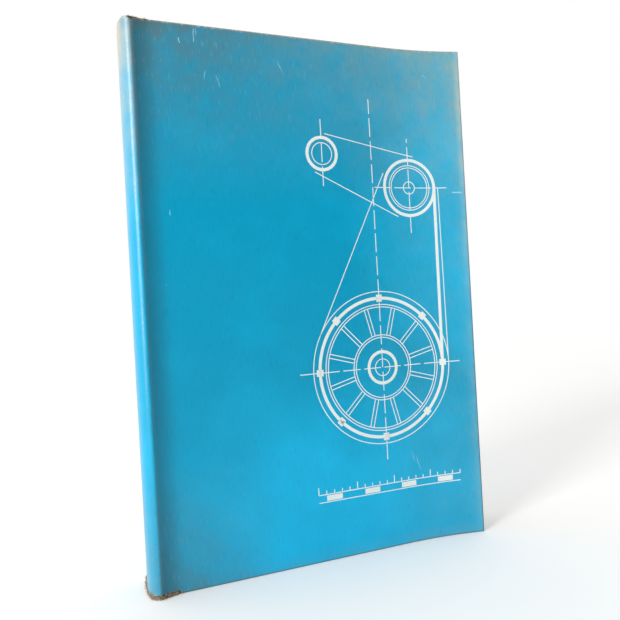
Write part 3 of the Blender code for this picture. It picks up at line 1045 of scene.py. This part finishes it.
def buildFray(cloth):
    source = cloth.data.copy()
    source.transform(caseToFrame.inverted())
    threads = bakeTree("frayed_threads", makeFrayTree(), source)
    for vert in threads.data.vertices:
        vert.co.z = min(max(vert.co.z, 0.02), case["height"] - 0.02)
    finishPiece(threads)
    inFrame(*case["hingeStart"])
    inFrame(*case["hingeEnd"])
    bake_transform(threads)
    return threads


fray = buildFray(caseCloth)
print("frayed threads:", len(fray.data.polygons), "faces")


# The leaves
leafStack = dict(
    count=160,
    perSection=16,
    width=154.6,
    thickness=0.072,
    middle=((leafLow.y + leafHigh.y) / 2 - caseOrigin.y) / mm,
    half=7.1,
    shoulderHalf=10.0,
    backX=0.9,
    backRound=1.7,
    shoulderX=2.6,
    shoulderEndX=5.4,
    uneven=0.10,
    wave=0.05,
    bunch=0.3,        # how far the folds of a section are drawn together at the back
    crowding=2.4,     # a leaf's own x runs closer together at the back by this power
    sectionSlip=1.4,  # a section is out of line by this many times as much as a leaf
    skew=1.2,
    sectionSeed=23,
    seed=7,
)


def makeLeafTree():
    tree, given = newTree("leafStack", dict(
        leafStack, height=(leafHigh.z - leafLow.z) / mm, tail=leafLow.z / mm, paper=bookPaper))
    maths, product, total = tree.maths, tree.product, tree.total

    def jitter(number, seed):
        return tree.add("FunctionNodeRandomValue", {
            "Min": -1.0, "Max": 1.0, "ID": number, "Seed": seed}, data_type="FLOAT").outputs[1]

    line = tree.made("MeshLine", Count=given["count"], Offset=(0.0, 0.0, 0.0))
    numbered = tree.store(line, "leafNumber", tree.made("InputIndex"))
    leaf = tree.made("MeshCube", Size=(1.0, 1.0, 1.0), Vertices_X=20, Vertices_Y=2, Vertices_Z=7)
    stack = tree.made("InstanceOnPoints", Points=numbered, Instance=leaf)
    real = tree.made("RealizeInstances", Geometry=stack)
    number = tree.named("leafNumber")
    ownX, ownY, ownZ = tree.add("ShaderNodeSeparateXYZ", {0: tree.made("InputPosition")}).outputs

    # share runs from -1 at the front leaf to 1 at the back one
    share = maths("SUBTRACT", maths("DIVIDE", maths("MULTIPLY_ADD", number, 2.0, 1.0), given["count"]), 1.0)
    section = maths("FLOOR", maths("DIVIDE", number, given["perSection"]))
    sectionMiddle = product(total(section, 0.5), given["perSection"])
    sectionShare = maths("SUBTRACT", maths("DIVIDE", product(sectionMiddle, 2.0), given["count"]), 1.0)
    sectionSlip = jitter(section, given["sectionSeed"])
    slip = maths("MULTIPLY_ADD", sectionSlip, given["sectionSlip"], jitter(number, given["seed"]))
    slip = product(slip, given["uneven"])

    # the leaf bends over the shoulder at the back
    across = maths("POWER", total(ownX, 0.5), given["crowding"])
    backX = total(given["backX"], product(given["backRound"], product(share, share)))
    x = maths("MULTIPLY_ADD", across, total(given["width"], slip), backX)
    flare = tree.ranged(x, given["shoulderEndX"], given["shoulderX"], soft=True)
    spread = maths("SUBTRACT", given["shoulderHalf"], given["half"])
    half = maths("MULTIPLY_ADD", flare, spread, given["half"])
    pull = product(flare, given["bunch"], maths("SUBTRACT", sectionShare, share))
    y = maths("MULTIPLY_ADD", total(share, pull), half, given["middle"])
    z = maths("MULTIPLY_ADD", total(ownZ, 0.5), given["height"], given["tail"])
    z = total(z, product(slip, product(ownZ, given["skew"])))
    ripplePlace = tree.vector(product(x, 0.02), product(number, 0.05), product(z, 0.02))
    ripple = maths("SUBTRACT", tree.clouds(ripplePlace, 1.0, 1.0), 0.5)
    ripple = product(ripple, product(given["wave"], across))
    y = total(total(y, ripple), product(ownY, given["thickness"]))
    placed = tree.made("SetPosition", Geometry=real, Position=tree.vector(x, y, z))
    tree.add("NodeGroupOutput", {"Geometry": tree.dress(placed, given["paper"])})
    return tree


def buildLeaves():
    leaves = bakeTree("book_leaves", makeLeafTree())
    finishPiece(leaves, 20.0)
    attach(leaves, "book")
    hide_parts(*["section_%02d" % (k + 1) for k in range(10)])
    return leaves


leaves = buildLeaves()
print("leaves:", len(leaves.data.polygons), "faces")


# Endpapers: one folded sheet at each end of the block, made as a pastedown and a flyleaf
endpapers = dict(
    thickness=0.15,
    tail=3.0,
    fold=(4.35, 2.85),          # the fold lies on the block's shoulder
    outerDepth=3.6,             # outer face of the pastedown over the turn-ins
    sinkDepth=3.1,              # and where it lies on the board between them
    pastedownX=157.9,
    flyleafX=157.2,
    flyleafY=4.05,
)


def sheetFromGrid(name, columns, rows, locate, thickness, mirrored, material):
    shape = bmesh.new()
    grid = [[shape.verts.new(locate(u, z)) for z in rows] for u in columns]
    for left, right in zip(grid, grid[1:]):
        for j in range(len(rows) - 1):
            corners = (left[j], right[j], right[j + 1], left[j + 1])
            shape.faces.new(corners if mirrored else corners[::-1])
    sheet = newPiece(name, shape, material)
    solidify(sheet, -thickness)
    return sheet


def buildEndpapers(side, path, body, mirrored):
    sizes = endpapers
    height = case["height"]
    turnIn = clothWrap["turnIn"]
    rows = [sizes["tail"], 6.0, 10.0, 13.8, 14.5, 15.3, 16.0, 19.0]
    rows = rows + stepsBetween(28.0, height - 28.0, 18) + [height - z for z in reversed(rows)]
    boardRun = path.marks["frontBoard"]
    foldX, foldY = sizes["fold"]

    def place(x, y, z):
        return Vector((x, case["span"] - y if mirrored else y, z))

    def pastedownPoint(u, z):
        # u below 0 is the hinge strip, from the fold to the board's edge; above it, mm from the board's edge
        if u <= 0:
            share = 1 + u
            x = foldX + (case["boardX"] + 0.1 - foldX) * share
            dip = math.sin(math.pi * min(share * 1.25, 1.0)) * 0.45
            y = foldY + (sizes["outerDepth"] - foldY) * ease(share * 1.4 - 0.4) - dip
            return place(x, y, z)
        run = boardRun + u
        inside = min(ease((z - turnIn) / 0.9), ease((height - turnIn - z) / 0.9),
                     ease((path.length - turnIn - run) / 0.9), ease((u - 0.3) / 1.5))
        depth = sizes["outerDepth"] - (sizes["outerDepth"] - sizes["sinkDepth"]) * inside
        spot = path.at(run) + path.inward(run) * depth
        return place(spot.x, spot.y, z)

    reach = sizes["pastedownX"] - case["boardX"]
    columns = [-1 + k / 9 for k in range(10)] + [0.3, 0.8, 1.3, 1.8, 4.0]
    columns += stepsBetween(10.0, reach - 18.0, 20)
    columns += [reach - k for k in (13.4, 12.9, 12.4, 11.8, 9.0, 6.0, 3.0, 0.0)]
    pastedown = sheetFromGrid(side + "_pastedown_sheet", columns, rows, pastedownPoint,
                              sizes["thickness"], mirrored, endpaper)
    finishPiece(pastedown)
    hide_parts(side + "_pastedown")
    if body == "book":
        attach(pastedown, "book")
    else:
        inFrame(case["boardX"], 0.0)
        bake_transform(pastedown)

    def flyleafPoint(x, z):
        rise = ease((x - foldX) / 2.2)
        ripple = noise.noise(Vector((x / 45, z / 60, 5.0))) * 0.04 * ease((x - 20) / 60)
        return place(x, foldY + 0.2 + (sizes["flyleafY"] - foldY - 0.2) * rise + ripple, z)

    columns = stepsBetween(foldX, foldX + 2.4, 6) + stepsBetween(12.0, sizes["flyleafX"], 24)
    flyleaf = sheetFromGrid(side + "_flyleaf_sheet", columns, rows, flyleafPoint, sizes["thickness"] - 0.02,
                            mirrored, endpaper)
    finishPiece(flyleaf)
    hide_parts(side + "_flyleaf")
    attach(flyleaf, "book")


buildEndpapers("front", casePath, "front_cover", False)
buildEndpapers("back", backPath, "book", True)
print("endpapers made")


# Bands: thread in two colours wound over the bead at head and tail
bandSizes = dict(
    wraps=46,
    reach=0.9,
    beadWidth=1.75,
    beadHeight=1.7,
    outer=-0.4,
    threadRadius=0.2,
)


def makeBandTree(middleZ):
    block = {size: leafStack[size] for size in ("shoulderHalf", "backX", "backRound", "middle")}
    tree, given = newTree("bandThreads", dict(
        bandSizes, **block, middleZ=middleZ, white=bandWhite, blue=bandBlue))
    maths, product, total = tree.maths, tree.product, tree.total

    line = tree.made("MeshLine", Count=given["wraps"], Offset=(0.0, 0.0, 0.0))
    index = tree.made("InputIndex")
    step = maths("DIVIDE", index, maths("SUBTRACT", given["wraps"], 1.0))
    share = product(maths("MULTIPLY_ADD", step, 2.0, -1.0), given["reach"])
    x = maths("MULTIPLY_ADD", product(share, share), given["backRound"], given["backX"])
    x = total(x, maths("MULTIPLY_ADD", given["beadWidth"], 0.5, given["outer"]))
    y = maths("MULTIPLY_ADD", share, given["shoulderHalf"], given["middle"])
    spread = tree.made("SetPosition", Geometry=line, Position=tree.vector(x, y, given["middleZ"]))
    ring = tree.made("CurvePrimitiveCircle", Resolution=14, Radius=0.5)
    size = tree.vector(given["beadWidth"], given["beadHeight"], 1.0)
    for change in ({"Scale": size}, {"Rotation": (math.pi / 2, 0.0, 0.0)}):
        ring = tree.made("Transform", Geometry=ring, **change)
    section = tree.made("CurvePrimitiveCircle", Resolution=5, Radius=given["threadRadius"])
    loop = tree.made("CurveToMesh", Curve=ring, Profile_Curve=section)
    slope = product(product(share, -2.0), maths("DIVIDE", given["backRound"], given["shoulderHalf"]))
    turn = tree.vector(0.0, 0.0, maths("ARCTANGENT", slope))
    numbered = tree.store(spread, "wrapNumber", index)
    wound = tree.made("InstanceOnPoints", Points=numbered, Instance=loop, Rotation=turn)
    real = tree.made("RealizeInstances", Geometry=wound)
    stripe = maths("MODULO", maths("FLOOR", maths("DIVIDE", tree.named("wrapNumber"), 3.0)), 2.0)
    white = tree.dress(real, given["white"])
    dressed = tree.dress(white, given["blue"], Selection=tree.above(stripe, 0.5))
    tree.add("NodeGroupOutput", {"Geometry": dressed})
    return tree


def buildBands():
    for name in ("headband", "tailband"):
        low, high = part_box(name)
        up = 1 if name == "headband" else -1
        middleZ = (high.z / mm if up == 1 else low.z / mm) - up * bandSizes["beadHeight"] / 2
        threads = bakeTree(name + "_threads", makeBandTree(middleZ))
        finishPiece(threads, 60.0)
        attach(threads, "book")
        print(name, "threads:", len(threads.data.polygons), "faces")


buildBands()

# CAD nodes that keep their shape and get their finish here
for nodeName, finish in (("front_board", greyBoard), ("back_board", greyBoard), ("spine_inlay", greyBoard),
                         ("spine_lining", gluedMull), ("headband", bandWhite), ("tailband", bandWhite)):
    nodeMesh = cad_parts[nodeName].data
    nodeMesh.materials.clear()
    nodeMesh.materials.append(finish)


# Floor, light and camera

studio = dict(
    floorRadius=2.1,
    floorColour="#F4F4F2",
    roomBright=1.0,
    curtainRadius=2.2,   # black cloth behind the viewer: it keeps the front cover's mirror image dark
    curtainTop=2.4,
    curtainFoot=-1.6,
    curtainHalf=78.0,    # degrees to each side of the front
    windowPlace=(-1.83, -0.97, 0.616),
    windowAim=(-0.04, 0.0, 0.14),
    windowSize=(0.55, 1.02),
    windowWatts=41.0,
)
photoView = dict(
    place=(-56.9, -290.5, 115.2),  # in case coordinates
    yaw=24.36,
    roll=-3.2,
    lens=40.645,
    sensor=36.0,
)


def buildStudio():
    floorShape = bmesh.new()
    bmesh.ops.create_circle(floorShape, cap_ends=True, segments=96, radius=studio["floorRadius"])
    white = newMaterial("whiteFloor", Base_Color=linear(studio["floorColour"]), Roughness=0.9,
                        Specular_IOR_Level=0.1, Emission_Color=linear("#FFFFFF"), Emission_Strength=0.15)[0]
    floor = newPiece("studio_floor", floorShape, white)
    floor.visible_glossy = False    # the coating would mirror it as a white veil

    curtainShape = bmesh.new()
    half = math.radians(studio["curtainHalf"])
    bends = [Vector((math.sin(a), -math.cos(a), 0.0)) * studio["curtainRadius"]
             for a in stepsBetween(-half, half, 24)]
    rails = [[curtainShape.verts.new((bend.x, bend.y, z)) for bend in bends]
             for z in (studio["curtainFoot"], studio["curtainTop"])]
    for i in range(len(bends) - 1):
        curtainShape.faces.new((rails[0][i], rails[1][i], rails[1][i + 1], rails[0][i + 1]))
    black = newMaterial("blackCurtain", Base_Color=linear("#0A0A0A"), Roughness=1.0,
                        Specular_IOR_Level=0.0)[0]
    curtain = newPiece("studio_curtain", curtainShape, black)
    curtain.visible_camera = False

    world = bpy.data.worlds.new("whiteRoom")
    bpy.context.scene.world = world
    world.use_nodes = True
    background = world.node_tree.nodes["Background"]
    background.inputs["Strength"].default_value = studio["roomBright"]
    background.inputs["Color"].default_value = linear("#FFFFFF")

    lamp = bpy.data.lights.new("windowLeft", "AREA")
    lamp.shape = "RECTANGLE"
    lamp.size, lamp.size_y = studio["windowSize"]
    lamp.energy = studio["windowWatts"]
    holder = bpy.data.objects.new("windowLeft", lamp)
    holder.location = studio["windowPlace"]
    towards = Vector(studio["windowAim"]) - holder.location
    holder.rotation_euler = towards.to_track_quat("-Z", "Y").to_euler()
    bpy.context.collection.objects.link(holder)
    bpy.context.scene.view_settings.view_transform = "Standard"


def placeCamera():
    yaw, roll = math.radians(photoView["yaw"]), math.radians(photoView["roll"])
    lens = bpy.data.cameras.new("photoCamera")
    lens.lens, lens.sensor_width, lens.clip_start = photoView["lens"], photoView["sensor"], 0.01
    camera = bpy.data.objects.new("photoCamera", lens)
    camera.matrix_world = (Matrix.Translation(caseToFrame @ Vector(photoView["place"]))
                           @ Matrix.Rotation(-yaw, 4, "Z") @ Matrix.Rotation(math.pi / 2, 4, "X")
                           @ Matrix.Rotation(roll, 4, "Z"))
    bpy.context.collection.objects.link(camera)
    bpy.context.scene.camera = camera


buildStudio()
placeCamera()
print("studio and camera ready")
